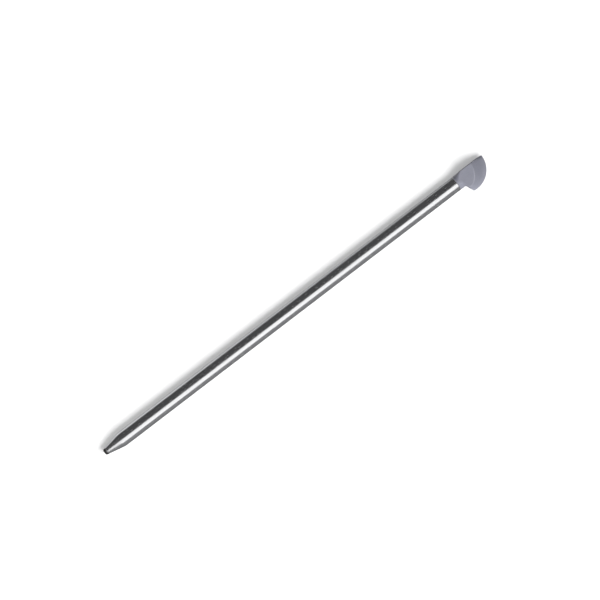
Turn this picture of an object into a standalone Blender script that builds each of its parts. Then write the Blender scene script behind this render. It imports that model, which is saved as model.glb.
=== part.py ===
"""Tubular tent stake: a swaged aluminium tube on a carbon core, with a bonded one-sided hook head.

The stake lies along X, nose at -X and head at +X, and its hook reaches towards -Y. The tube's lowest
line and the head's lower flat side lie in the plane Z = 0. The origin is under the middle of the
overall box. Lengths are in metres and angles in radians.
"""
import math

import bmesh
import bpy

# --- Driving dimensions -------------------------------------------------------------------------
STAKE_LENGTH = 0.1524  # nose to strike end, 6 in
TUBE_RADIUS = 0.00238125  # outside, half of 3/16 in
TUBE_WALL = 0.0004
HEAD_LENGTH = 0.01165  # from the tube's end to the strike end

NOSE_HALF_ANGLE = math.radians(12.2)
NOSE_END_RADIUS = 0.00093  # the cone's radius at the end plane, before its lip is rounded
NOSE_LIP_ROUND = 0.0006
NOSE_SHOULDER_ROUND = 0.006  # radius of the arc that blends the cone into the straight tube
NOSE_HOLE_RADIUS = 0.0003  # swaging thickens the wall until only this hole is left
NOSE_HOLE_LENGTH = 0.0012

SHANK_LENGTH = 0.011  # how far the head's shank goes into the tube
BOND_FILM = 0.00008  # adhesive between the core or shank and the tube
FIT_GAP = 0.00003  # between each film and its neighbours
END_GAP = 0.00005  # between faces that meet end to end
CORE_SHANK_SPACE = 0.0006  # left between the core's end and the shank's end
END_CHAMFER = 0.0002

STRIKE_RADIUS = 0.0075  # the head's outer edge is nearly a quarter circle
STRIKE_CENTRE_S = -TUBE_RADIUS + 0.0002
STRIKE_END_S = STRIKE_CENTRE_S + 0.0009  # where the strike edge stops and its far corner turns down
UNDERSIDE_LEAN = math.radians(21)  # the hook's underside leans towards the head's end
NECK_LENGTH = 0.00187  # from the tube's end to the hook's underside, along the tube's surface
INNER_ROUND = 0.0005  # between the neck and the hook's underside
CORNER_ROUND = 0.00042  # the hook's outer corner
BACK_STAND = 0.0002  # the back stands this far proud of the tube behind the neck
BACK_RELIEF_LENGTH = 0.0024  # the back edge turns in over this length before the strike end
BACK_RELIEF_DEPTH = 0.0002
FAR_CORNER_DROP = 0.45  # share of its height that the far corner loses at the back
FACET_LENGTH = 0.0028  # over this length the back edge's round widens into the far corner's facet
FACET_WIDTH = 0.0007  # what the round gains in width
FACET_FULLNESS = 1.7  # exponent of the facet's superellipse

FLAT_LENGTH = 0.00365  # the flat side ends on a quarter superellipse with these half axes
FLAT_WIDTH = 0.00537
FLAT_CENTRE_X = 0.00356
FLAT_CENTRE_S = STRIKE_CENTRE_S + 0.00015
FLAT_CURVE = 1.6  # that superellipse's exponent
RIM_HALF_THICKNESS = 0.00042  # the round strike rim
RIM_SHARE = 0.08  # how much of the strike slope's width the rim takes
SLOPE_CONTROL = (0.50, 0.69)  # bows the strike slope: at its far end 33 degrees at the rim, 18 at the flat
EDGE_ROUND = 0.0003  # along the back and the underside
EDGE_FULLNESS = 3.5  # exponent of those edges' superellipse
RIDGE_HALF_WIDTH = 0.00012  # of the flat that runs along the top of the round neck
NECK_BLEND_START = 0.0006  # between these the back edge turns from round to flat-sided
NECK_BLEND_END = 0.0034
BACK_AT_CORNER_X = 0.0044  # the back's station that faces the hook's outer corner

SEGMENTS = 48  # around every turned piece
STRIKE_STEPS = 18  # along the strike edge
EDGE_STEPS = 8  # from mid thickness up to each flat side
RIM_STEPS = 3  # of those, round the strike rim

TUBE_END_X = STAKE_LENGTH / 2 - HEAD_LENGTH
NOSE_END_X = -STAKE_LENGTH / 2
BACK_S = -TUBE_RADIUS - BACK_STAND
BORE_RADIUS = TUBE_RADIUS - TUBE_WALL
INNER_RADIUS = BORE_RADIUS - 2 * FIT_GAP - BOND_FILM  # core and shank


def clear_scene():
    for obj in list(bpy.data.objects):
        bpy.data.objects.remove(obj, do_unlink=True)


def make_material(name, colour, roughness, metallic):
    material = bpy.data.materials.new(name)
    material.use_nodes = True
    shader = material.node_tree.nodes["Principled BSDF"]
    shader.inputs["Base Color"].default_value = (*colour, 1.0)
    shader.inputs["Roughness"].default_value = roughness
    shader.inputs["Metallic"].default_value = metallic
    material.diffuse_color = (*colour, 1.0)
    return material


def aluminium():
    return make_material("drawn_aluminium", (0.80, 0.80, 0.81), 0.22, 1.0)


def grey_nylon():
    return make_material("grey_nylon", (0.30, 0.30, 0.34), 0.55, 0.0)


def carbon():
    return make_material("carbon_rod", (0.02, 0.02, 0.022), 0.4, 0.0)


def adhesive():
    return make_material("cured_adhesive", (0.55, 0.50, 0.38), 0.35, 0.0)


def add_object(name, mesh, material, location):
    """Puts a mesh in the scene under its part's name, shaded smooth except at its real edges."""
    mesh.materials.append(material)
    mesh.shade_smooth()
    mesh.set_sharp_from_angle(angle=math.radians(30))
    obj = bpy.data.objects.new(name, mesh)
    obj.location = location
    bpy.context.scene.collection.objects.link(obj)
    return obj


def turned_mesh(name, profile, closed_ends):
    """Turns (x, radius) points about X. closed_ends fills the two end rings of an open profile."""
    bm = bmesh.new()
    rings = []
    for x, radius in profile:
        ring = []
        for i in range(SEGMENTS):
            angle = 2 * math.pi * i / SEGMENTS
            ring.append(bm.verts.new((x, radius * math.cos(angle), radius * math.sin(angle))))
        rings.append(ring)
    pairs = list(zip(rings, rings[1:]))
    if not closed_ends:
        pairs.append((rings[-1], rings[0]))
    for first, second in pairs:
        for i in range(SEGMENTS):
            j = (i + 1) % SEGMENTS
            bm.faces.new((first[i], first[j], second[j], second[i]))
    if closed_ends:
        bm.faces.new(rings[0])
        bm.faces.new(rings[-1])
    bmesh.ops.recalc_face_normals(bm, faces=bm.faces)
    mesh = bpy.data.meshes.new(name)
    bm.to_mesh(mesh)
    bm.free()
    return mesh


def arc(centre, radius, start, end, steps):
    """Points along an arc, its two ends included. centre is (x, s), and start and end are angles."""
    points = []
    for i in range(steps + 1):
        angle = start + (end - start) * i / steps
        points.append((centre[0] + radius * math.cos(angle), centre[1] + radius * math.sin(angle)))
    return points


def nose_outline():
    """The outside of the nose, from the hole's rim to the straight tube, in (x, radius)."""
    lean = NOSE_HALF_ANGLE
    # The lip's arc touches the end plane and the cone.
    lip_radius = NOSE_END_RADIUS - NOSE_LIP_ROUND * math.tan((math.pi / 2 - lean) / 2)
    lip = arc((NOSE_END_X + NOSE_LIP_ROUND, lip_radius), NOSE_LIP_ROUND, math.pi, math.pi / 2 + lean, 5)
    # The shoulder's arc touches the cone and the straight tube.
    cone_length = (TUBE_RADIUS - NOSE_END_RADIUS) / math.tan(lean)
    shoulder_x = NOSE_END_X + cone_length + NOSE_SHOULDER_ROUND * math.tan(lean / 2)
    centre = (shoulder_x, TUBE_RADIUS - NOSE_SHOULDER_ROUND)
    return lip + arc(centre, NOSE_SHOULDER_ROUND, math.pi / 2 + lean, math.pi / 2, 6)


def build_tube(location):
    """Tube with its swaged nose. The wall thickens towards the nose, which keeps a small hole."""
    cone_end_x = NOSE_END_X + (TUBE_RADIUS - NOSE_END_RADIUS) / math.tan(NOSE_HALF_ANGLE)
    outside = nose_outline()
    outside.append((TUBE_END_X - END_CHAMFER / 2, TUBE_RADIUS))
    outside.append((TUBE_END_X, TUBE_RADIUS - END_CHAMFER / 2))
    inside = [(TUBE_END_X, BORE_RADIUS)]
    inside.append((cone_end_x + TUBE_WALL, BORE_RADIUS))
    inside.append((cone_end_x - TUBE_WALL, BORE_RADIUS - TUBE_WALL / 4))
    inside.append((NOSE_END_X + NOSE_HOLE_LENGTH, NOSE_HOLE_RADIUS))
    inside.append((NOSE_END_X, NOSE_HOLE_RADIUS))
    mesh = turned_mesh("stake_tube", outside + inside, closed_ends=False)
    return add_object("stake_tube", mesh, aluminium(), location)


def core_ends():
    """Where the core starts, behind the nose, and where it stops, short of the shank."""
    start = NOSE_END_X + (TUBE_RADIUS - NOSE_END_RADIUS) / math.tan(NOSE_HALF_ANGLE) + 2 * TUBE_WALL
    end = TUBE_END_X - SHANK_LENGTH - CORE_SHANK_SPACE
    return start, end


def build_core(location):
    start, end = core_ends()
    profile = [
        (start, INNER_RADIUS - END_CHAMFER),
        (start + END_CHAMFER, INNER_RADIUS),
        (end - END_CHAMFER, INNER_RADIUS),
        (end, INNER_RADIUS - END_CHAMFER),
    ]
    mesh = turned_mesh("core_rod", profile, closed_ends=True)
    return add_object("core_rod", mesh, carbon(), location)


def build_film(name, start, end, location):
    """A sleeve of cured adhesive that fills the space between the tube and what is inside it."""
    outer = BORE_RADIUS - FIT_GAP
    inner = outer - BOND_FILM
    profile = [(start, inner), (start, outer), (end, outer), (end, inner)]
    mesh = turned_mesh(name, profile, closed_ends=False)
    return add_object(name, mesh, adhesive(), location)


def hook_corner_centre():
    """Centre of the small arc that touches the strike edge from inside and the underside line."""
    circle = (HEAD_LENGTH - STRIKE_RADIUS, STRIKE_CENTRE_S)
    reach = STRIKE_RADIUS - CORNER_ROUND
    # The underside moved into the hook by the corner's radius, as x = base + slope * s.
    slope = math.tan(UNDERSIDE_LEAN)
    base = underside_x(0.0) + CORNER_ROUND / math.cos(UNDERSIDE_LEAN)
    a = 1 + slope * slope
    b = 2 * (slope * (base - circle[0]) - circle[1])
    c = (base - circle[0]) ** 2 + circle[1] ** 2 - reach * reach
    s = (-b + math.sqrt(b * b - 4 * a * c)) / (2 * a)
    return base + slope * s, s


def underside_x(s):
    """x of the hook's underside at a distance s from the tube's axis."""
    return NECK_LENGTH + (s - TUBE_RADIUS) * math.tan(UNDERSIDE_LEAN)


def smooth_step(value, low, high):
    part = min(1.0, max(0.0, (value - low) / (high - low)))
    return part * part * (3 - 2 * part)


def mix(first, second, part):
    return tuple(a + (b - a) * part for a, b in zip(first, second))


def hook_side():
    """The head's outline on the hook's side, from the neck to the strike edge's far end.

    Each entry is (outline point, edge of the flat side, crown, bow). crown is 1 where the surface
    between the two is the long slope of the strike edge, and 0 where it is a plain round. bow bends
    the line between them towards the back, which shapes the strike edge's far corner.
    """
    neck_line = [(END_GAP + END_CHAMFER / 2, TUBE_RADIUS), (NECK_LENGTH / 2, TUBE_RADIUS)]
    side = [(point, (point[0], RIDGE_HALF_WIDTH), 0.0, 0.0) for point in neck_line]
    # Inner corner, a concave arc that touches the neck and the underside.
    turn = math.pi / 2 - UNDERSIDE_LEAN
    inner_x = NECK_LENGTH - INNER_ROUND * math.tan(turn / 2)
    inner = arc((inner_x, TUBE_RADIUS + INNER_ROUND), INNER_ROUND, -math.pi / 2, turn - math.pi / 2, 4)
    flat_shift = EDGE_ROUND / math.cos(UNDERSIDE_LEAN)
    flat_start = (inner_x, RIDGE_HALF_WIDTH)
    flat_end = (underside_x(inner[-1][1]) + flat_shift, inner[-1][1])
    for i, point in enumerate(inner):
        side.append((point, mix(flat_start, flat_end, smooth_step(i, 0, 4)), 0.0, 0.0))
    # Underside, then the rounded corner, where the flat's edge turns to its curve.
    centre = hook_corner_centre()
    strike_angle = math.atan2(centre[1] - STRIKE_CENTRE_S, centre[0] - HEAD_LENGTH + STRIKE_RADIUS)
    corner = arc(centre, CORNER_ROUND, math.pi - UNDERSIDE_LEAN, strike_angle, 4)
    curve_start = flat_edge(0.0)
    flat_corner = (underside_x(curve_start[1]) + flat_shift, curve_start[1])
    for i in range(1, 6):
        part = i / 5
        crown = smooth_step(part, 0.4, 1)
        side.append((mix(inner[-1], corner[0], part), mix(flat_end, flat_corner, part), crown, 0.0))
    for i, point in enumerate(corner[1:]):
        side.append((point, mix(flat_corner, curve_start, (i + 1) / 4), 1.0, 0.0))
    # Strike edge.
    circle = (HEAD_LENGTH - STRIKE_RADIUS, STRIKE_CENTRE_S)
    last_angle = math.asin((STRIKE_END_S - STRIKE_CENTRE_S) / STRIKE_RADIUS)
    for i, point in enumerate(arc(circle, STRIKE_RADIUS, strike_angle, last_angle, STRIKE_STEPS)[1:]):
        side.append((point, flat_edge((i + 1) / STRIKE_STEPS), 1.0, ((i + 1) / STRIKE_STEPS) ** 3))
    return side


def flat_edge(part):
    """A point of the flat side's curved edge, from the hook's side at part 0 to its far end at 1."""
    angle = math.pi / 2 * part
    along = math.sin(angle) ** (2 / FLAT_CURVE)
    across = max(0.0, math.cos(angle)) ** (2 / FLAT_CURVE)
    return FLAT_CENTRE_X + FLAT_LENGTH * along, FLAT_CENTRE_S + FLAT_WIDTH * across


def back_side(hook):
    """The outline opposite the hook, one entry for each of hook's: (outline point, flat's edge, fullness).

    The back turns from the neck's round section, fullness 2, to a flat-sided one with crisp edges
    that stands a little proud of the tube.
    """
    last_x = FLAT_CENTRE_X + FLAT_LENGTH
    corner_count = len(hook) - STRIKE_STEPS
    side = []
    for i, (point, flat, crown, bow) in enumerate(hook):
        if point[1] <= TUBE_RADIUS and i < corner_count:
            x = point[0]
        elif i < corner_count:
            x = NECK_LENGTH + (BACK_AT_CORNER_X - NECK_LENGTH) * (i - 2) / (corner_count - 3)
        else:
            x = BACK_AT_CORNER_X + (last_x - BACK_AT_CORNER_X) * (i - corner_count + 1) / STRIKE_STEPS
        blend = smooth_step(x, NECK_BLEND_START, NECK_BLEND_END)
        back_s = -TUBE_RADIUS - BACK_STAND * blend
        flat_s = -RIDGE_HALF_WIDTH + (RIDGE_HALF_WIDTH + BACK_S + EDGE_ROUND) * blend
        side.append(((x, back_s), (x, flat_s), 2 + (EDGE_FULLNESS - 2) * blend))
    return side


def plain_edge(level, fullness):
    """Superellipse from the outline (0, 0) to the flat's edge (1, 1), as shares of inset and height."""
    angle = math.pi / 2 * level
    return 1 - abs(math.cos(angle)) ** (2 / fullness), math.sin(angle) ** (2 / fullness)


def crowned_edge(step):
    """The strike edge's section: a round rim, then a bowed slope up to the flat side."""
    rim_height = RIM_HALF_THICKNESS / TUBE_RADIUS
    if step <= RIM_STEPS:
        angle = math.pi / 2 * step / RIM_STEPS
        return RIM_SHARE * (1 - math.cos(angle)), rim_height * math.sin(angle)
    t = (step - RIM_STEPS) / (EDGE_STEPS - RIM_STEPS)
    inward = (1 - t) ** 2 * RIM_SHARE + 2 * t * (1 - t) * SLOPE_CONTROL[0] + t * t
    height = (1 - t) ** 2 * rim_height + 2 * t * (1 - t) * SLOPE_CONTROL[1] + t * t
    return inward, height


def edge_section(point, flat, height, crown, fullness, bow=0.0):
    """Points (x, s, z) from the outline at mid thickness up to the flat's edge."""
    section = []
    for step in range(EDGE_STEPS + 1):
        inward, up = mix(plain_edge(step / EDGE_STEPS, fullness), crowned_edge(step), crown)
        x = point[0] + (flat[0] - point[0]) * inward
        s = point[1] + (flat[1] - point[1]) * inward * (1 + bow * (1 - inward))
        section.append((x, s, height * up))
    return section


def ring(upper):
    """Closes an upper half, which starts and ends at mid thickness, with its mirror image below."""
    return upper + [(x, s, -z) for x, s, z in upper[-2:0:-1]]


def head_rings():
    """Closed rings round the head, from the shank's end to the strike edge's far end."""
    rings = []
    start = END_GAP
    for x, radius in (
        (-SHANK_LENGTH, INNER_RADIUS - END_CHAMFER),
        (END_CHAMFER - SHANK_LENGTH, INNER_RADIUS),
        (start, INNER_RADIUS),
        (start, TUBE_RADIUS - END_CHAMFER / 2),
    ):
        ridge = RIDGE_HALF_WIDTH * radius / TUBE_RADIUS
        upper = edge_section((x, radius), (x, ridge), radius, 0.0, 2)
        upper += edge_section((x, -radius), (x, -ridge), radius, 0.0, 2)[::-1]
        rings.append(ring(upper))
    hook = hook_side()
    for (point, flat, crown, bow), (back, back_flat, fullness) in zip(hook, back_side(hook)):
        hook_fullness = 2 + (EDGE_FULLNESS - 2) * smooth_step(point[1], TUBE_RADIUS, 1.5 * TUBE_RADIUS)
        upper = edge_section(point, flat, TUBE_RADIUS, crown, hook_fullness, bow)
        upper += edge_section(back, back_flat, TUBE_RADIUS, 0.0, fullness)[::-1]
        rings.append(ring(upper))
    return rings


def back_wall_columns(last_ring):
    """Columns that close the back between the flat's end and the strike rim, in (x, s, z).

    The head is a wedge here, so each column is about as high as the slope that it hangs from. It is
    lower towards the far corner, where a facet turns down from the slope to the back.
    """
    columns = []
    flat_x = last_ring[EDGE_STEPS][0]
    stretch = (HEAD_LENGTH - flat_x) / (last_ring[1][0] - flat_x)
    for slope_x, s, z in last_ring[EDGE_STEPS - 1:0:-1]:
        x = flat_x + (slope_x - flat_x) * stretch
        relief = BACK_RELIEF_DEPTH * max(0.0, 1 - (HEAD_LENGTH - x) / BACK_RELIEF_LENGTH) ** 2
        height = z * (1 - FAR_CORNER_DROP * (s - FLAT_CENTRE_S) / (STRIKE_END_S - FLAT_CENTRE_S))
        facet = smooth_step(x, HEAD_LENGTH - FACET_LENGTH, HEAD_LENGTH)
        edge = (x, BACK_S + EDGE_ROUND + FACET_WIDTH * facet)
        fullness = EDGE_FULLNESS + (FACET_FULLNESS - EDGE_FULLNESS) * min(1.0, 3 * facet)
        columns.append(edge_section((x, BACK_S + relief), edge, height, 0.0, fullness)[::-1])
    return columns


def build_head(location):
    """Quarter-disc hook with flat sides and a crowned strike edge, on a round neck and shank."""
    bm = bmesh.new()
    rings = []
    for points in head_rings():
        rings.append([bm.verts.new((x, -s, z)) for x, s, z in points])
    count = len(rings[0])
    for first, second in zip(rings, rings[1:]):
        for i in range(count):
            j = (i + 1) % count
            bm.faces.new((first[i], first[j], second[j], second[i]))
    bm.faces.new(rings[0])
    close_back_wall(bm, rings[-1], back_wall_columns(head_rings()[-1]))
    bmesh.ops.recalc_face_normals(bm, faces=bm.faces)
    mesh = bpy.data.meshes.new("hook_head")
    bm.to_mesh(mesh)
    bm.free()
    return add_object("hook_head", mesh, grey_nylon(), location)


def close_back_wall(bm, last, columns):
    """Fills the last ring with the back wall, column by column towards the strike rim."""
    half = 2 * EDGE_STEPS + 2
    previous = last[EDGE_STEPS:len(last) - EDGE_STEPS + 1]
    for number, points in enumerate(columns):
        step = EDGE_STEPS - 1 - number
        upper = [bm.verts.new((x, -s, z)) for x, s, z in points]
        lower = [bm.verts.new((x, -s, -z)) for x, s, z in points[-2::-1]]
        column = [last[step]] + upper + lower + [last[-step]]
        for i in range(len(column) - 1):
            bm.faces.new((previous[i], previous[i + 1], column[i + 1], column[i]))
        previous = column
    for i in range(len(previous) - 1):
        bm.faces.new((last[0], previous[i], previous[i + 1]))


def axis_y():
    """Puts the tube's axis so that the overall box is centred on Y = 0."""
    hook_reach = max(point[1] for point, flat, crown, bow in hook_side())
    return (hook_reach + BACK_S) / 2


def main():
    clear_scene()
    axis = (0.0, axis_y(), TUBE_RADIUS)
    build_tube(axis)
    build_core(axis)
    start, end = core_ends()
    build_film("core_bond", start + END_CHAMFER, end - END_CHAMFER, axis)
    build_film("shank_bond", TUBE_END_X - SHANK_LENGTH + END_CHAMFER, TUBE_END_X - END_GAP, axis)
    build_head((TUBE_END_X, axis[1], axis[2]))


main()
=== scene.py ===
"""Looks of a slim tubular tent stake: a drawn, swaged aluminium tube and a moulded hook head.

The stake lies on a pale floor, nose at -X and hook head at +X. Everything is in metres in the frame
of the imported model. s is the distance from the tube's axis towards the hook, which is -Y.
"""
import math

import bmesh
import bpy
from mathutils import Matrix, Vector, noise


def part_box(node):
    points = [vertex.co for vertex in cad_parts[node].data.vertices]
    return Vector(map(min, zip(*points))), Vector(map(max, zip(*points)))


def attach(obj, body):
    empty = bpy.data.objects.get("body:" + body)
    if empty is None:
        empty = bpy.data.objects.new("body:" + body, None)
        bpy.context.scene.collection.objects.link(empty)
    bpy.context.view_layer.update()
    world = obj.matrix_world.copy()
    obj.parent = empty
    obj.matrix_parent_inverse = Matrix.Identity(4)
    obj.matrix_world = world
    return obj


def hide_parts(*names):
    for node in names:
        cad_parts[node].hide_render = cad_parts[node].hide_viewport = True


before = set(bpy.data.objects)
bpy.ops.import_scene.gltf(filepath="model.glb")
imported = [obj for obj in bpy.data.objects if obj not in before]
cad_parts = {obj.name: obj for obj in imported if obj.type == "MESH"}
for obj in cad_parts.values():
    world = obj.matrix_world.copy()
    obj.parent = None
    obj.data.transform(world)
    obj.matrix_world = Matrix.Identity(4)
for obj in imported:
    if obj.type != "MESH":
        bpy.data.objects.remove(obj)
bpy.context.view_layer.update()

MM = 0.001
BODY = "root"

# --- Places and sizes, read from the frame ------------------------------------------------------
tube_low, tube_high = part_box("stake_tube")
head_low, head_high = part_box("hook_head")
core_low, core_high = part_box("core_rod")
bond_low, bond_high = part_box("shank_bond")

RADIUS = (tube_high.z - tube_low.z) / 2
AXIS_Y = (tube_high.y + tube_low.y) / 2
AXIS_Z = (tube_high.z + tube_low.z) / 2
NOSE_X = tube_low.x
JOINT_X = tube_high.x
HEAD_LENGTH = head_high.x - JOINT_X
SHANK_LENGTH = JOINT_X - head_low.x
BOND_RADIUS = (bond_high.z - bond_low.z) / 2
CORE_RADIUS = (core_high.z - core_low.z) / 2
STAKE_LENGTH = head_high.x - NOSE_X
BACK_STAND = head_high.y - tube_high.y

# --- Tube ---------------------------------------------------------------------------------------
FILM_GAP = 0.03 * MM
BORE_RADIUS = BOND_RADIUS + FILM_GAP
NOSE_LEAN = math.radians(12.2)
NOSE_END_RADIUS = 0.93 * MM
LIP_ROUND = 0.6 * MM
SHOULDER_ROUND = 6 * MM
HOLE_RADIUS = 0.3 * MM
HOLE_LENGTH = 1.2 * MM
HOLE_CHAMFER_LENGTH = 0.02 * MM
HOLE_CHAMFER_DEPTH = 0.03 * MM
BORE_STEP_HALF = 0.4 * MM
BORE_STEP_DEPTH = 0.1 * MM
DEBURR = 0.1 * MM
TUBE_SIDES = 160
TUBE_RING_STEP = 1.6 * MM
TUBE_ARC_STEPS = 12
CONE_STEPS = 14
DEBURR_STEPS = 5
WAVINESS = 0.003 * MM
WAVES_ALONG = 55
WAVES_ROUND = 1.3
WAVED_RADIUS = BORE_RADIUS + 0.2 * MM
SCUFFED_LENGTH = 9 * MM
# Painted shade: over this span from the nose the lip's colour fades to near-black, in place of the dark
# reflection of its rounded end.
LIP_DARK = (0.5 * MM, 1.5 * MM)

# --- Head ---------------------------------------------------------------------------------------
SHANK_CHAMFER = 0.2 * MM
BACK_S = -RADIUS - BACK_STAND
STRIKE_RADIUS = 7.494 * MM
STRIKE_S = -RADIUS + 0.2 * MM
STRIKE_END_S = STRIKE_S + 0.9 * MM
UNDERSIDE_LEAN = math.radians(21)
NECK_LENGTH = 1.87 * MM
INNER_ROUND = 0.5 * MM
CORNER_ROUND = 0.42 * MM
RELIEF_LENGTH = 2.4 * MM
RELIEF_DEPTH = 0.2 * MM
FAR_CORNER_DROP = 0.45
FLAT_LENGTH = 3.65 * MM
FLAT_WIDTH = 5.37 * MM
FLAT_X = 3.56 * MM
FLAT_S = STRIKE_S + 0.15 * MM
FLAT_CURVE = 1.6
RIM_HALF = 0.42 * MM
RIM_SHARE = 0.08
SLOPE_CONTROL = (0.50, 0.69)
SLOPE_STEP_POWER = 1.5
EDGE_ROUND = 0.3 * MM
FULLNESS = 3.5
RIDGE_HALF = 0.12 * MM
BLEND_START = 0.6 * MM
BLEND_END = 3.4 * MM
BACK_AT_CORNER = 4.4 * MM
JOINT_GAP = 0.05 * MM
CREASE_DROP = 0.012 * MM
FACET_LENGTH = 2.8 * MM
FACET_WIDTH = 0.7 * MM
FACET_FULLNESS = 1.7
PARTING_HEIGHT = 0.022 * MM
PARTING_HALF = 0.05 * MM
CRISP_INSET = 0.12 * MM
# How far in from the flat's edge its wear and painted highlight fall off, and where the painted highlight
# on the crease grows.
WEAR_AND_HIGHLIGHT_INSET = 0.45 * MM
CREST_LENGTH = 2 * MM
CREST_S = 1.5 * MM
NECK_STEPS = 5
ROUND_STEPS = 8
UNDERSIDE_STEPS = 12
STRIKE_STEPS = 72
EDGE_STEPS = 18
RIM_STEPS = 7
FLAT_POINTS = 5

# --- View: from straight above, the stake rising to the right ------------------------------------
STAKE_TILT = math.radians(37.41)
VIEW_CENTRE_ALONG = 0.5167 * STAKE_LENGTH
VIEW_CENTRE_ACROSS = 0.3385 * RADIUS
VIEW_CENTRE = Vector((NOSE_X + VIEW_CENTRE_ALONG, AXIS_Y + VIEW_CENTRE_ACROSS, AXIS_Z))
VIEW_WIDTH = 1.25 * STAKE_LENGTH
CAMERA_HEIGHT = 1.6
SENSOR = 0.036
PANEL_HEIGHT = 3.0
SOFTBOX_HEIGHT = 0.6
ROOM_LIGHT = 0.07


# --- Node helpers -------------------------------------------------------------------------------
def new_material(name):
    material = bpy.data.materials.new(name)
    material.use_nodes = True
    nodes = material.node_tree.nodes
    return material, nodes, material.node_tree.links, nodes["Principled BSDF"]


def millimetres(nodes, links, stretch=(1.0, 1.0, 1.0), turn=(0.0, 0.0, 0.0)):
    """Object coordinates in millimetres, stretched and turned for one texture."""
    coordinates = nodes.new("ShaderNodeTexCoord")
    mapping = nodes.new("ShaderNodeMapping")
    mapping.inputs["Scale"].default_value = [v / MM for v in stretch]
    mapping.inputs["Rotation"].default_value = turn
    links.new(coordinates.outputs["Object"], mapping.inputs["Vector"])
    return mapping.outputs["Vector"]


def noise_value(nodes, links, vector, scale, detail=2.0, roughness=0.5):
    texture = nodes.new("ShaderNodeTexNoise")
    texture.inputs["Scale"].default_value = scale
    texture.inputs["Detail"].default_value = detail
    texture.inputs["Roughness"].default_value = roughness
    links.new(vector, texture.inputs["Vector"])
    return texture.outputs["Fac"]


def map_range(nodes, links, value, source, target, smooth=False):
    node = nodes.new("ShaderNodeMapRange")
    if smooth:
        node.interpolation_type = "SMOOTHSTEP"
    node.inputs["From Min"].default_value = source[0]
    node.inputs["From Max"].default_value = source[1]
    node.inputs["To Min"].default_value = target[0]
    node.inputs["To Max"].default_value = target[1]
    links.new(value, node.inputs["Value"])
    return node.outputs["Result"]


def calculate(nodes, links, operation, first, second):
    """A Math node. Each operand is a socket or a number."""
    node = nodes.new("ShaderNodeMath")
    node.operation = operation
    for socket, operand in zip(node.inputs, (first, second)):
        if isinstance(operand, (int, float)):
            socket.default_value = operand
        else:
            links.new(operand, socket)
    return node.outputs["Value"]


def mix_colours(nodes, links, factor, first, second):
    """Mixes two colours. Each is a socket or an (r, g, b)."""
    node = nodes.new("ShaderNodeMix")
    node.data_type = "RGBA"
    links.new(factor, node.inputs["Factor"])
    for name, colour in (("A", first), ("B", second)):
        socket = next(i for i in node.inputs if i.name == name and i.type == "RGBA")
        if isinstance(colour, tuple):
            socket.default_value = (*colour, 1.0)
        else:
            links.new(colour, socket)
    return next(o for o in node.outputs if o.type == "RGBA")


def add_bump(nodes, links, height, strength, distance, below=None):
    bump = nodes.new("ShaderNodeBump")
    bump.inputs["Strength"].default_value = strength
    bump.inputs["Distance"].default_value = distance
    links.new(height, bump.inputs["Height"])
    if below is not None:
        links.new(below, bump.inputs["Normal"])
    return bump.outputs["Normal"]


def position_x(nodes, links):
    coordinates = nodes.new("ShaderNodeTexCoord")
    separate = nodes.new("ShaderNodeSeparateXYZ")
    links.new(coordinates.outputs["Object"], separate.inputs["Vector"])
    return separate.outputs["X"]


# --- Materials ----------------------------------------------------------------------------------
def drawn_aluminium():
    """Bright drawn tube: fine lines along it, faint scratches, and a scuffed nose whose lip is painted
    near-black, a painted shade standing in for the dark reflection of its rounded end.
    """
    material, nodes, links, shader = new_material("drawn_aluminium")
    along = millimetres(nodes, links, (0.02, 1.0, 1.0))
    fine_lines = noise_value(nodes, links, along, 11.0, 3.0)
    broad_lines = noise_value(nodes, links, along, 2.2, 2.0)
    plain = millimetres(nodes, links)
    smudges = noise_value(nodes, links, plain, 0.09, 3.0)
    slanted = millimetres(nodes, links, (0.10, 1.0, 1.0), (0.0, 0.0, math.radians(2.5)))
    scratches = noise_value(nodes, links, slanted, 6.0, 1.0)
    scratches = map_range(nodes, links, scratches, (0.69, 0.73), (0.0, 1.0))
    x = position_x(nodes, links)
    near_nose = map_range(nodes, links, x, (NOSE_X, NOSE_X + SCUFFED_LENGTH), (1.0, 0.0), smooth=True)
    lip_range = [NOSE_X + length for length in LIP_DARK]
    at_lip = map_range(nodes, links, x, lip_range, (1.0, 0.0), smooth=True)
    scuffs = noise_value(nodes, links, millimetres(nodes, links, (0.5, 1.0, 1.0)), 3.0, 4.0, 0.65)
    scuffs = map_range(nodes, links, scuffs, (0.45, 0.7), (0.0, 1.0))
    scuffed = calculate(nodes, links, "MULTIPLY", near_nose, scuffs)
    soiled = calculate(nodes, links, "MULTIPLY", scuffed, 0.35)
    # Painted shade: near-black colour at the lip instead of a dark reflection.
    painted_lip_shade = calculate(nodes, links, "MULTIPLY", at_lip, 0.9)

    tint = mix_colours(nodes, links, broad_lines, (0.80, 0.80, 0.815), (0.89, 0.89, 0.90))
    tint = mix_colours(nodes, links, soiled, tint, (0.42, 0.41, 0.40))
    tint = mix_colours(nodes, links, painted_lip_shade, tint, (0.05, 0.048, 0.046))
    links.new(tint, shader.inputs["Base Color"])
    shader.inputs["Metallic"].default_value = 1.0

    rough = map_range(nodes, links, smudges, (0.3, 0.7), (0.19, 0.26))
    for wear_and_highlight, share in ((scratches, 0.12), (scuffed, 0.16), (at_lip, 0.35)):
        rough = calculate(nodes, links, "ADD", rough, calculate(nodes, links, "MULTIPLY", wear_and_highlight, share))
    links.new(rough, shader.inputs["Roughness"])

    normal = add_bump(nodes, links, fine_lines, 0.16, 0.004 * MM)
    normal = add_bump(nodes, links, scratches, 0.25, 0.004 * MM, normal)
    normal = add_bump(nodes, links, scuffed, 0.25, 0.012 * MM, normal)
    links.new(normal, shader.inputs["Normal"])
    return material


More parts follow.
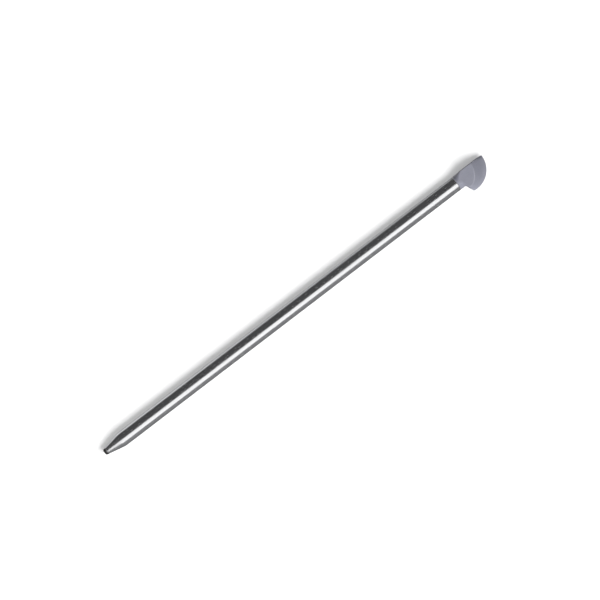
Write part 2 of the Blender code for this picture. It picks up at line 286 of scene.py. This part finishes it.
def grey_nylon():
    """Glass-filled nylon with a spark-eroded mould texture, and paler edges: rubbed wear, plus a painted
    highlight along the middle of the flat's crease.
    """
    material, nodes, links, shader = new_material("grey_nylon")
    plain = millimetres(nodes, links)
    clouds = noise_value(nodes, links, plain, 0.55, 3.0)
    slanted = millimetres(nodes, links, (0.35, 1.0, 1.0), (0.0, 0.0, 0.5))
    flow = noise_value(nodes, links, slanted, 3.5, 4.0, 0.6)
    flow = map_range(nodes, links, flow, (0.35, 0.75), (0.0, 0.35))
    texture = noise_value(nodes, links, plain, 9.0, 4.0, 0.65)
    pits = noise_value(nodes, links, plain, 22.0, 1.0)
    # The per-point attribute holds rubbed edge wear and a painted highlight along the flat's crease; the
    # paler tint below paints both.
    attribute = nodes.new("ShaderNodeAttribute")
    attribute.attribute_name = "edge_wear_and_highlight"
    patches = noise_value(nodes, links, plain, 4.0, 4.0, 0.7)
    patches = map_range(nodes, links, patches, (0.38, 0.66), (0.35, 1.0))
    wear_and_highlight = calculate(nodes, links, "MULTIPLY", attribute.outputs["Fac"], patches)
    rubbed_and_highlit = calculate(nodes, links, "MULTIPLY", wear_and_highlight, 0.9)
    smoothed = calculate(nodes, links, "MULTIPLY", wear_and_highlight, 0.10)

    tint = mix_colours(nodes, links, clouds, (0.170, 0.174, 0.212), (0.200, 0.204, 0.244))
    tint = mix_colours(nodes, links, flow, tint, (0.226, 0.229, 0.268))
    # Paler where rubbed, and a painted highlight on the flat's crease.
    tint = mix_colours(nodes, links, rubbed_and_highlit, tint, (0.34, 0.34, 0.38))
    links.new(tint, shader.inputs["Base Color"])

    rough = map_range(nodes, links, texture, (0.3, 0.7), (0.34, 0.46))
    rough = calculate(nodes, links, "SUBTRACT", rough, smoothed)
    links.new(rough, shader.inputs["Roughness"])
    shader.inputs["Specular IOR Level"].default_value = 0.8

    normal = add_bump(nodes, links, texture, 0.35, 0.02 * MM)
    normal = add_bump(nodes, links, pits, 0.20, 0.01 * MM, normal)
    links.new(normal, shader.inputs["Normal"])
    return material


def carbon_rod():
    """Pultruded carbon: dark straight fibres in clear resin."""
    material, nodes, links, shader = new_material("carbon_rod")
    along = millimetres(nodes, links, (0.01, 1.0, 1.0))
    fibres = noise_value(nodes, links, along, 16.0, 4.0, 0.6)
    tint = mix_colours(nodes, links, fibres, (0.010, 0.010, 0.011), (0.045, 0.045, 0.048))
    links.new(tint, shader.inputs["Base Color"])
    links.new(map_range(nodes, links, fibres, (0.3, 0.7), (0.28, 0.5)), shader.inputs["Roughness"])
    links.new(add_bump(nodes, links, fibres, 0.3, 0.01 * MM), shader.inputs["Normal"])
    return material


def cured_adhesive():
    """Amber structural adhesive with small trapped bubbles."""
    material, nodes, links, shader = new_material("cured_adhesive")
    plain = millimetres(nodes, links)
    clouds = noise_value(nodes, links, plain, 1.2, 3.0)
    bubbles = noise_value(nodes, links, plain, 9.0, 1.0)
    tint = mix_colours(nodes, links, clouds, (0.42, 0.33, 0.17), (0.62, 0.55, 0.38))
    links.new(tint, shader.inputs["Base Color"])
    links.new(map_range(nodes, links, clouds, (0.3, 0.7), (0.2, 0.42)), shader.inputs["Roughness"])
    raised = map_range(nodes, links, bubbles, (0.62, 0.75), (0.0, 1.0))
    links.new(add_bump(nodes, links, raised, 0.5, 0.03 * MM), shader.inputs["Normal"])
    return material


def pale_floor():
    material, nodes, links, shader = new_material("pale_floor")
    texture = noise_value(nodes, links, millimetres(nodes, links), 0.7, 3.0)
    tint = mix_colours(nodes, links, texture, (0.84, 0.84, 0.84), (0.86, 0.86, 0.86))
    links.new(tint, shader.inputs["Base Color"])
    links.new(map_range(nodes, links, texture, (0.3, 0.7), (0.85, 0.95)), shader.inputs["Roughness"])
    shader.inputs["Specular IOR Level"].default_value = 0.1
    return material


# --- Mesh helpers -------------------------------------------------------------------------------
def mesh_object(name, bm, material, sharp_angle):
    bmesh.ops.recalc_face_normals(bm, faces=bm.faces)
    mesh = bpy.data.meshes.new(name)
    bm.to_mesh(mesh)
    bm.free()
    mesh.materials.append(material)
    mesh.shade_smooth()
    mesh.set_sharp_from_angle(angle=sharp_angle)
    obj = bpy.data.objects.new(name, mesh)
    bpy.context.scene.collection.objects.link(obj)
    return obj


def arc(centre, radius, start, end, steps):
    points = []
    for i in range(steps + 1):
        angle = start + (end - start) * i / steps
        points.append((centre[0] + radius * math.cos(angle), centre[1] + radius * math.sin(angle)))
    return points


def smooth_step(value, low, high):
    part = min(1.0, max(0.0, (value - low) / (high - low)))
    return part * part * (3 - 2 * part)


def mix(first, second, part):
    return tuple(a + (b - a) * part for a, b in zip(first, second))


# --- Tube ---------------------------------------------------------------------------------------
def tube_profile():
    """(x, radius) round the tube's wall: nose lip, cone, shoulder, straight, end, and back inside."""
    lip_radius = NOSE_END_RADIUS - LIP_ROUND * math.tan((math.pi / 2 - NOSE_LEAN) / 2)
    lip_centre = (NOSE_X + LIP_ROUND, lip_radius)
    lip = arc(lip_centre, LIP_ROUND, math.pi, math.pi / 2 + NOSE_LEAN, TUBE_ARC_STEPS)
    cone_length = (RADIUS - NOSE_END_RADIUS) / math.tan(NOSE_LEAN)
    cone_end = NOSE_X + cone_length
    centre = (cone_end + SHOULDER_ROUND * math.tan(NOSE_LEAN / 2), RADIUS - SHOULDER_ROUND)
    shoulder = arc(centre, SHOULDER_ROUND, math.pi / 2 + NOSE_LEAN, math.pi / 2, TUBE_ARC_STEPS)
    profile = [(NOSE_X + HOLE_CHAMFER_LENGTH, HOLE_RADIUS), (NOSE_X, HOLE_RADIUS + HOLE_CHAMFER_DEPTH)]
    profile += lip
    profile += [mix(lip[-1], shoulder[0], i / CONE_STEPS) for i in range(1, CONE_STEPS)]
    profile += shoulder
    straight_end = JOINT_X - DEBURR
    rings = round((straight_end - centre[0]) / TUBE_RING_STEP)
    profile += [(centre[0] + (straight_end - centre[0]) * i / rings, RADIUS) for i in range(1, rings + 1)]
    profile += arc((straight_end, RADIUS - DEBURR), DEBURR, math.pi / 2, 0.0, DEBURR_STEPS)[1:]
    profile += [(JOINT_X, BORE_RADIUS + DEBURR / 2), (JOINT_X - DEBURR / 2, BORE_RADIUS)]
    profile += [(cone_end + BORE_STEP_HALF, BORE_RADIUS)]
    profile += [(cone_end - BORE_STEP_HALF, BORE_RADIUS - BORE_STEP_DEPTH)]
    profile += [(NOSE_X + HOLE_LENGTH, HOLE_RADIUS)]
    return profile


def waved(x, radius, angle):
    """Takes up to three microns off the outside's radius, unevenly, as drawing leaves it.

    The bore and the thin end of the nose, below WAVED_RADIUS, stay true.
    """
    if radius < WAVED_RADIUS:
        return radius
    place = Vector((x * WAVES_ALONG, math.cos(angle) * WAVES_ROUND, math.sin(angle) * WAVES_ROUND))
    return radius - WAVINESS * (0.5 + 0.5 * noise.noise(place))


def build_tube():
    bm = bmesh.new()
    rings = []
    for x, radius in tube_profile():
        ring = []
        for i in range(TUBE_SIDES):
            angle = 2 * math.pi * i / TUBE_SIDES
            r = waved(x, radius, angle)
            ring.append(bm.verts.new((x, AXIS_Y + r * math.cos(angle), AXIS_Z + r * math.sin(angle))))
        rings.append(ring)
    for first, second in zip(rings, rings[1:] + rings[:1]):
        for i in range(TUBE_SIDES):
            j = (i + 1) % TUBE_SIDES
            bm.faces.new((first[i], first[j], second[j], second[i]))
    tube = mesh_object("drawn_tube", bm, drawn_aluminium(), math.radians(40))
    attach(tube, BODY)
    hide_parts("stake_tube")


# --- Head ---------------------------------------------------------------------------------------
def underside_x(s):
    return NECK_LENGTH + (s - RADIUS) * math.tan(UNDERSIDE_LEAN)


def hook_corner_centre():
    """Centre of the arc that touches the strike edge from inside and the hook's underside."""
    circle = (HEAD_LENGTH - STRIKE_RADIUS, STRIKE_S)
    reach = STRIKE_RADIUS - CORNER_ROUND
    slope = math.tan(UNDERSIDE_LEAN)
    base = underside_x(0.0) + CORNER_ROUND / math.cos(UNDERSIDE_LEAN)
    a = 1 + slope * slope
    b = 2 * (slope * (base - circle[0]) - circle[1])
    c = (base - circle[0]) ** 2 + circle[1] ** 2 - reach * reach
    s = (-b + math.sqrt(b * b - 4 * a * c)) / (2 * a)
    return base + slope * s, s


def flat_edge(part):
    """A point of the flat's curved edge, from the hook's side at part 0 to its far end at 1."""
    angle = math.pi / 2 * (1 - part)
    along = max(0.0, math.cos(angle)) ** (2 / FLAT_CURVE)
    across = math.sin(angle) ** (2 / FLAT_CURVE)
    return FLAT_X + FLAT_LENGTH * along, FLAT_S + FLAT_WIDTH * across


def hook_side():
    """Stations along the hook's outline: (outline point, flat's edge, crown, bow), in (x, s).

    crown is 1 where the strike edge's long slope lies between the two points, and 0 where a plain
    round does. bow bends the line between them towards the back, which shapes the far corner.
    """
    neck_start = JOINT_GAP + DEBURR
    inner_x = NECK_LENGTH - INNER_ROUND * math.tan((math.pi / 2 - UNDERSIDE_LEAN) / 2)
    side = []
    for i in range(NECK_STEPS):
        x = neck_start + (inner_x - neck_start) * i / NECK_STEPS
        side.append(((x, RADIUS), (x, RIDGE_HALF), 0.0, 0.0))
    inner_centre = (inner_x, RADIUS + INNER_ROUND)
    inner = arc(inner_centre, INNER_ROUND, -math.pi / 2, -UNDERSIDE_LEAN, ROUND_STEPS)
    shift = EDGE_ROUND / math.cos(UNDERSIDE_LEAN)
    flat_start = (inner_x, RIDGE_HALF)
    flat_end = (underside_x(inner[-1][1]) + shift, inner[-1][1])
    for i, point in enumerate(inner):
        part = smooth_step(i, 0, ROUND_STEPS)
        side.append((point, mix(flat_start, flat_end, part), 0.0, 0.0))
    centre = hook_corner_centre()
    circle = (HEAD_LENGTH - STRIKE_RADIUS, STRIKE_S)
    strike_angle = math.atan2(centre[1] - circle[1], centre[0] - circle[0])
    corner = arc(centre, CORNER_ROUND, math.pi - UNDERSIDE_LEAN, strike_angle, ROUND_STEPS)
    curve_start = (FLAT_X, FLAT_S + FLAT_WIDTH)
    flat_corner = (underside_x(curve_start[1]) + shift, curve_start[1])
    for i in range(1, UNDERSIDE_STEPS + 1):
        part = i / UNDERSIDE_STEPS
        crown = smooth_step(part, 0.4, 1.0)
        side.append((mix(inner[-1], corner[0], part), mix(flat_end, flat_corner, part), crown, 0.0))
    for i in range(1, ROUND_STEPS + 1):
        side.append((corner[i], mix(flat_corner, curve_start, i / ROUND_STEPS), 1.0, 0.0))
    last_angle = math.asin((STRIKE_END_S - STRIKE_S) / STRIKE_RADIUS)
    strike = arc(circle, STRIKE_RADIUS, strike_angle, last_angle, STRIKE_STEPS)
    for i in range(1, STRIKE_STEPS + 1):
        part = i / STRIKE_STEPS
        side.append((strike[i], flat_edge(part), 1.0, part ** 3))
    return side


def back_side(hook):
    """Stations along the back, one for each of hook's: (outline point, flat's edge, fullness).

    The back turns from the neck's round section, fullness 2, to a flat-sided one that stands a
    little proud of the tube.
    """
    last_x = FLAT_X + FLAT_LENGTH
    corner_count = len(hook) - STRIKE_STEPS
    inner_x = hook[NECK_STEPS][0][0]
    side = []
    for i, station in enumerate(hook):
        if i <= NECK_STEPS:
            x = station[0][0]
        elif i < corner_count:
            underside_count = corner_count - NECK_STEPS - 1
            x = inner_x + (BACK_AT_CORNER - inner_x) * (i - NECK_STEPS) / underside_count
        else:
            x = BACK_AT_CORNER + (last_x - BACK_AT_CORNER) * (i - corner_count + 1) / STRIKE_STEPS
        blend = smooth_step(x, BLEND_START, BLEND_END)
        flat_s = -RIDGE_HALF + (RIDGE_HALF + BACK_S + EDGE_ROUND) * blend
        side.append(((x, -RADIUS - BACK_STAND * blend), (x, flat_s), 2 + (FULLNESS - 2) * blend))
    return side


def plain_edge(level, fullness):
    """Superellipse from the outline (0, 0) to the flat's edge (1, 1), as shares of inset and height."""
    angle = math.pi / 2 * level
    return 1 - abs(math.cos(angle)) ** (2 / fullness), math.sin(angle) ** (2 / fullness)


def crowned_edge(step):
    """The strike edge's section: a round rim, then a bowed slope whose steps shorten at the flat."""
    rim = RIM_HALF / RADIUS
    if step <= RIM_STEPS:
        angle = math.pi / 2 * step / RIM_STEPS
        return RIM_SHARE * (1 - math.cos(angle)), rim * math.sin(angle)
    t = 1 - (1 - (step - RIM_STEPS) / (EDGE_STEPS - RIM_STEPS)) ** SLOPE_STEP_POWER
    inward = (1 - t) ** 2 * RIM_SHARE + 2 * t * (1 - t) * SLOPE_CONTROL[0] + t * t
    height = (1 - t) ** 2 * rim + 2 * t * (1 - t) * SLOPE_CONTROL[1] + t * t
    return inward, height


def edge_section(point, flat, height, crown, fullness, bow=0.0):
    """(x, s, z, wear and painted highlight) from the outline up to the flat's edge, with the mould's
    parting line first.
    """
    inset = math.dist(point, flat)
    parting = PARTING_HEIGHT / inset
    section = [(*point, 0.0, 0.8)]
    section.append((*mix(point, flat, parting), min(PARTING_HALF, height / 20), 0.6))
    for step in range(1, EDGE_STEPS + 1):
        inward, up = mix(plain_edge(step / EDGE_STEPS, fullness), crowned_edge(step), crown)
        inward = parting + (1 - parting) * inward
        x = point[0] + (flat[0] - point[0]) * inward
        s = point[1] + (flat[1] - point[1]) * inward * (1 + bow * (1 - inward))
        drop = CREASE_DROP * crown if step == EDGE_STEPS else 0.0
        section.append((x, s, height * up - drop, edge_wear_and_highlight(step, crown, flat)))
    return section


def crest_wear_and_highlight(crown, flat):
    """How rubbed the flat's edge is, plus a painted highlight: the middle of its curve, where the rounded
    crease catches the light, is painted palest.
    """
    middle = smooth_step(flat[0], FLAT_X, FLAT_X + CREST_LENGTH) * smooth_step(flat[1], FLAT_S, CREST_S)
    return 0.3 + crown * (0.7 * middle - 0.05)


def edge_wear_and_highlight(step, crown, flat):
    """How rubbed a point is, between the outline and the flat's edge, with the painted highlight at the
    flat's edge.
    """
    rim = max(0.0, 1 - abs(step - RIM_STEPS) / 3)
    shoulder = max(0.0, 1 - abs(step - EDGE_STEPS) / 2)
    return max(0.35 * rim * (0.35 + 0.65 * crown), shoulder * crest_wear_and_highlight(crown, flat))


def half_ring(hook, hook_flat, back, back_flat, height, crown, hook_fullness, fullness, bow=0.0):
    """The upper half of a ring. FLAT_POINTS points on the flat keep its edges crisp and carry their wear
    and painted highlight.
    """
    first = edge_section(hook, hook_flat, height, crown, hook_fullness, bow)
    last = edge_section(back, back_flat, height, 0.0, fullness)[::-1]
    across = math.dist(hook_flat, back_flat)
    near = min(0.2, CRISP_INSET / across)
    wide = min(0.35, WEAR_AND_HIGHLIGHT_INSET / across)
    inside = []
    for part, wear_and_highlight in (
        (near, crest_wear_and_highlight(crown, hook_flat)),
        (wide, 0.1),
        (0.5, 0.05),
        (1 - wide, 0.1),
        (1 - near, 0.2),
    ):
        inside.append((*mix(hook_flat, back_flat, part), height, wear_and_highlight))
    return first + inside + last


def closed_ring(upper):
    """Adds the mirror image below mid thickness, without the two points that lie there."""
    return upper + [(x, s, -z, wear_and_highlight) for x, s, z, wear_and_highlight in upper[-2:0:-1]]


def head_rings():
    """Closed rings of (x, s, z, wear and painted highlight), from the shank's end to the strike edge's far
    end.
    """
    rings = []
    for x, radius in (
        (-SHANK_LENGTH, CORE_RADIUS - SHANK_CHAMFER),
        (-SHANK_LENGTH + SHANK_CHAMFER, CORE_RADIUS),
        (JOINT_GAP, CORE_RADIUS),
        (JOINT_GAP, RADIUS - DEBURR),
        (JOINT_GAP + DEBURR * 0.3, RADIUS - DEBURR * 0.3),
    ):
        ridge = RIDGE_HALF * radius / RADIUS
        upper = half_ring((x, radius), (x, ridge), (x, -radius), (x, -ridge), radius, 0, 2, 2)
        rings.append(closed_ring(upper))
    hook = hook_side()
    for (point, flat, crown, bow), (back, back_flat, fullness) in zip(hook, back_side(hook)):
        hook_fullness = 2 + (FULLNESS - 2) * smooth_step(point[1], RADIUS, 1.5 * RADIUS)
        upper = half_ring(point, flat, back, back_flat, RADIUS, crown, hook_fullness, fullness, bow)
        rings.append(closed_ring(upper))
    return rings


def back_wall_columns(last_ring):
    """Columns of the back wall between the flat's end and the strike rim, each under its slope.

    They are lower towards the far corner, where a facet turns down from the slope to the back.
    """
    columns = []
    flat_x = last_ring[EDGE_STEPS + 1][0]
    stretch = (HEAD_LENGTH - flat_x) / (last_ring[2][0] - flat_x)
    for slope_x, s, z, _ in last_ring[EDGE_STEPS:1:-1]:
        x = flat_x + (slope_x - flat_x) * stretch
        relief = RELIEF_DEPTH * max(0.0, 1 - (HEAD_LENGTH - x) / RELIEF_LENGTH) ** 2
        height = z * (1 - FAR_CORNER_DROP * (s - FLAT_S) / (STRIKE_END_S - FLAT_S))
        facet = smooth_step(x, HEAD_LENGTH - FACET_LENGTH, HEAD_LENGTH)
        edge = (x, BACK_S + EDGE_ROUND + FACET_WIDTH * facet)
        fullness = FULLNESS + (FACET_FULLNESS - FULLNESS) * min(1.0, 3 * facet)
        columns.append(edge_section((x, BACK_S + relief), edge, height, 0.0, fullness)[::-1])
    return columns


def close_far_end(bm, vertex, last, columns):
    """Fills the last ring with the back wall, column by column from the flat to the strike rim."""
    top = EDGE_STEPS + 1
    strip = last[top:top + FLAT_POINTS + 2]
    mirrored = [last[-(top + i)] for i in range(FLAT_POINTS + 2)]
    previous = last[top + FLAT_POINTS + 1:len(last) - top - FLAT_POINTS]
    for number, points in enumerate(columns):
        step = top - 1 - number
        upper = [vertex(p) for p in points]
        lower = [vertex(p, -1) for p in points[-2::-1]]
        column = upper + lower
        if number == 0:
            bm.faces.new(strip + [upper[0], last[step]])
            bm.faces.new(mirrored + [lower[-1], last[-step]])
        else:
            bm.faces.new((last[step + 1], previous[0], upper[0], last[step]))
            bm.faces.new((last[-step - 1], previous[-1], lower[-1], last[-step]))
        for i in range(len(column) - 1):
            bm.faces.new((previous[i], previous[i + 1], column[i + 1], column[i]))
        previous = column
    end = [last[1]] + previous + [last[-1]]
    for i in range(len(end) - 1):
        bm.faces.new((last[0], end[i], end[i + 1]))


def build_head():
    """Hook head: closed rings from the shank to the far end, mirrored at mid thickness."""
    bm = bmesh.new()
    wear_and_highlight_layer = bm.verts.layers.float.new("edge_wear_and_highlight")

    def vertex(point, side=1):
        """Adds a point. side is -1 for its mirror image below mid thickness."""
        x, s, z, wear_and_highlight = point
        vert = bm.verts.new((JOINT_X + x, AXIS_Y - s, AXIS_Z + side * z))
        vert[wear_and_highlight_layer] = wear_and_highlight
        return vert

    points = head_rings()
    rings = [[vertex(p) for p in ring] for ring in points]
    count = len(rings[0])
    for first, second in zip(rings, rings[1:]):
        for i in range(count):
            j = (i + 1) % count
            bm.faces.new((first[i], first[j], second[j], second[i]))
    bm.faces.new(rings[0])
    close_far_end(bm, vertex, rings[-1], back_wall_columns(points[-1]))
    head = mesh_object("moulded_head", bm, grey_nylon(), math.radians(50))
    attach(head, BODY)
    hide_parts("hook_head")


# --- Carried-over CAD nodes ---------------------------------------------------------------------
def finish_inner_parts():
    adhesive = cured_adhesive()
    for node, material in (("core_rod", carbon_rod()), ("core_bond", adhesive), ("shank_bond", adhesive)):
        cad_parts[node].material_slots[0].material = material


# --- Stage --------------------------------------------------------------------------------------
def build_floor():
    """White floor, left out of reflections so that the metal mirrors the dark room."""
    bm = bmesh.new()
    bmesh.ops.create_grid(bm, x_segments=4, y_segments=4, size=6.0)
    floor = mesh_object("floor", bm, pale_floor(), math.radians(30))
    floor.visible_glossy = False


def panel(name, x_slopes, y_slopes, radiance, height=PANEL_HEIGHT, diffuse=True, glossy=False, shadow=True):
    """A level light panel overhead. Its edges are slopes from the origin, x or y over height.

    diffuse tells whether it lights surfaces, glossy whether reflections show it, and shadow whether
    it casts shadows.
    """
    data = bpy.data.lights.new(name, "AREA")
    data.shape = "RECTANGLE"
    data.size = height * (x_slopes[1] - x_slopes[0])
    data.size_y = height * (y_slopes[1] - y_slopes[0])
    data.energy = radiance * data.size * data.size_y * math.pi
    data.use_shadow = shadow
    light = bpy.data.objects.new(name, data)
    light.location = (height * sum(x_slopes) / 2, height * sum(y_slopes) / 2, height)
    light.visible_diffuse = diffuse
    light.visible_glossy = glossy
    bpy.context.scene.collection.objects.link(light)


def build_lights():
    """A softbox that the metal mirrors, a key that casts the shadow, a fill, and two mirrored cards."""
    panel("softbox", (-0.86, 0.62), (-1.53, -0.05), 1.02, height=SOFTBOX_HEIGHT, glossy=True)
    panel("key", (-0.12, 0.70), (-1.14, -0.40), 9.5)
    panel("head_fill", (-2.6, -1.4), (-1.5, -0.3), 25.0, shadow=False)
    panel("nose_side_card", (-2.6, -0.95), (-0.7, 0.9), 0.8, diffuse=False, glossy=True)
    panel("head_side_card", (0.90, 2.4), (0.6, 1.9), 0.7, diffuse=False, glossy=True)


def build_world():
    """A dark room, lighter on the light's side, at both ends, and low behind the stake.

    The low light shows along the tube's far rim. It is weakest in the directions that lean a little
    towards the head, and a third weaker than full in those that lean well towards the nose.
    """
    world = bpy.data.worlds.new("studio")
    world.use_nodes = True
    nodes = world.node_tree.nodes
    links = world.node_tree.links
    coordinates = nodes.new("ShaderNodeTexCoord")
    separate = nodes.new("ShaderNodeSeparateXYZ")
    links.new(coordinates.outputs["Generated"], separate.inputs["Vector"])
    x, y, z = separate.outputs

    light_side = map_range(nodes, links, y, (-0.35, -0.95), (0.0, 0.17), smooth=True)
    x_squared = calculate(nodes, links, "MULTIPLY", x, x)
    both_ends = map_range(nodes, links, x_squared, (0.6, 0.95), (0.0, 0.3), smooth=True)

    far_side = map_range(nodes, links, y, (0.3, 0.8), (0.0, 0.95), smooth=True)
    low = map_range(nodes, links, z, (-0.18, -0.42), (0.0, 1.0), smooth=True)
    before_head = map_range(nodes, links, x, (0.08, -0.08), (0.15, 1.0), smooth=True)
    past_head = map_range(nodes, links, x, (0.14, 0.34), (0.0, 0.85), smooth=True)
    past_nose = map_range(nodes, links, x, (-0.12, -0.32), (0.0, -0.35), smooth=True)
    share = calculate(nodes, links, "ADD", before_head, past_head)
    share = calculate(nodes, links, "ADD", share, past_nose)
    rim = calculate(nodes, links, "MULTIPLY", far_side, low)
    rim = calculate(nodes, links, "MULTIPLY", rim, share)

    strength = calculate(nodes, links, "ADD", light_side, rim)
    strength = calculate(nodes, links, "ADD", strength, ROOM_LIGHT)
    strength = calculate(nodes, links, "ADD", strength, both_ends)
    background = nodes["Background"]
    background.inputs["Color"].default_value = (0.97, 0.98, 1.0, 1.0)
    links.new(strength, background.inputs["Strength"])
    bpy.context.scene.world = world
    bpy.context.scene.view_settings.view_transform = "Standard"


def build_camera():
    data = bpy.data.cameras.new("camera")
    data.sensor_width = SENSOR / MM
    data.lens = SENSOR / MM * CAMERA_HEIGHT / VIEW_WIDTH
    data.clip_start = 0.05
    data.clip_end = 50
    camera = bpy.data.objects.new("camera", data)
    camera.location = VIEW_CENTRE + Vector((0.0, 0.0, CAMERA_HEIGHT))
    camera.rotation_euler = (0.0, 0.0, -STAKE_TILT)
    bpy.context.scene.collection.objects.link(camera)
    bpy.context.scene.camera = camera


build_camera()
build_tube()
build_head()
finish_inner_parts()
build_floor()
build_lights()
build_world()
